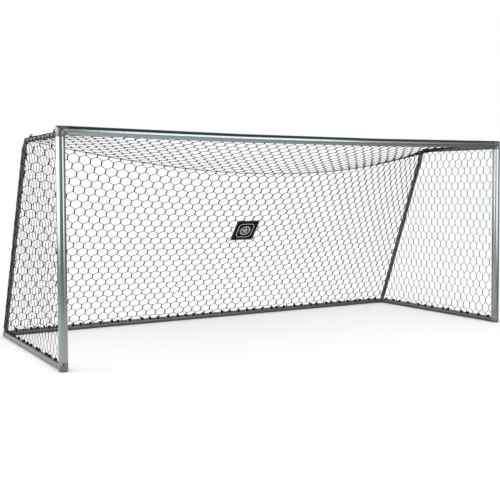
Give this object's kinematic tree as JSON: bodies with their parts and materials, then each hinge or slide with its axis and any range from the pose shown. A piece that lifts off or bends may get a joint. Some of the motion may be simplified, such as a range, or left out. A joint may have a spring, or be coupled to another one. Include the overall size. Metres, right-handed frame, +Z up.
{
  "type": "soccer goal frame",
  "caption": "Full-depth soccer goal with aluminium posts and crossbar, steel base and side tubes, moulded corners and a sagging net.",
  "frame": {"origin": "on the ground, at the middle of the goal's footprint", "axes": "+X along the crossbar to the right as seen from the front, +Y from the mouth to the rear, +Z up"},
  "size_m": [5, 2, 2],
  "materials": {
    "aluminium": "satin anodised extrusion",
    "steel": "grey powder coat",
    "fitting": "moulded dark grey, lightly grained",
    "fastener": "zinc plated",
    "net": "knotless black twine",
    "patch": "plain black coated cloth"
  },
  "bodies": {
    "frame": {"base_side_front_left": "steel", "base_side_front_right": "steel", "base_side_rear_left": "steel", "base_side_rear_right": "steel", "crossbar_centre": "aluminium", "crossbar_left": "aluminium", "crossbar_right": "aluminium", "crossbar_screw_left_end": "fastener", "crossbar_screw_left_inner": "fastener", "crossbar_screw_left_outer": "fastener", "crossbar_screw_right_end": "fastener", "crossbar_screw_right_inner": "fastener", "crossbar_screw_right_outer": "fastener", "crossbar_sleeve_left": "aluminium", "crossbar_sleeve_right": "aluminium", "front_foot_left": "fitting", "front_foot_right": "fitting", "net_back": "net", "net_patch": "patch", "net_ridge_cord": "net", "net_roof": "net", "net_side_left": "net", "net_side_right": "net", "post_lower_left": "aluminium", "post_lower_right": "aluminium", "post_screw_left_above": "fastener", "post_screw_left_below": "fastener", "post_screw_left_foot": "fastener", "post_screw_left_top": "fastener", "post_screw_right_above": "fastener", "post_screw_right_below": "fastener", "post_screw_right_foot": "fastener", "post_screw_right_top": "fastener", "post_sleeve_left": "aluminium", "post_sleeve_right": "aluminium", "post_upper_left": "aluminium", "post_upper_right": "aluminium", "rear_bar_centre": "steel", "rear_bar_left": "steel", "rear_bar_right": "steel", "rear_elbow_left": "fitting", "rear_elbow_right": "fitting", "side_arch_left": "steel", "side_arch_right": "steel", "stanchion_left": "steel", "stanchion_right": "steel", "top_corner_left": "fitting", "top_corner_right": "fitting"},
    "snap_button_base_left": {"snap_button_base_left": "fastener"},
    "snap_button_base_right": {"snap_button_base_right": "fastener"},
    "snap_button_rear_left": {"snap_button_rear_left": "fastener"},
    "snap_button_rear_right": {"snap_button_rear_right": "fastener"},
    "snap_button_stanchion_left": {"snap_button_stanchion_left": "fastener"},
    "snap_button_stanchion_right": {"snap_button_stanchion_right": "fastener"}
  },
  "joints": [
    {"name": "snap_button_base_left_press", "type": "slide", "parent": "frame", "child": "snap_button_base_left", "axis": [1, 0, 0], "range_m": [0, 0.005], "stiffness_N_per_m": 400, "springref_m": -0.004},
    {"name": "snap_button_base_right_press", "type": "slide", "parent": "frame", "child": "snap_button_base_right", "axis": [-1, 0, 0], "range_m": [0, 0.005], "stiffness_N_per_m": 400, "springref_m": -0.004},
    {"name": "snap_button_rear_left_press", "type": "slide", "parent": "frame", "child": "snap_button_rear_left", "axis": [0, -1, 0], "range_m": [0, 0.005], "stiffness_N_per_m": 400, "springref_m": -0.004},
    {"name": "snap_button_rear_right_press", "type": "slide", "parent": "frame", "child": "snap_button_rear_right", "axis": [0, -1, 0], "range_m": [0, 0.005], "stiffness_N_per_m": 400, "springref_m": -0.004},
    {"name": "snap_button_stanchion_left_press", "type": "slide", "parent": "frame", "child": "snap_button_stanchion_left", "axis": [0, -0.9257, -0.3782], "range_m": [0, 0.005], "stiffness_N_per_m": 400, "springref_m": -0.004},
    {"name": "snap_button_stanchion_right_press", "type": "slide", "parent": "frame", "child": "snap_button_stanchion_right", "axis": [0, -0.9257, -0.3782], "range_m": [0, 0.005], "stiffness_N_per_m": 400, "springref_m": -0.004}
  ]
}
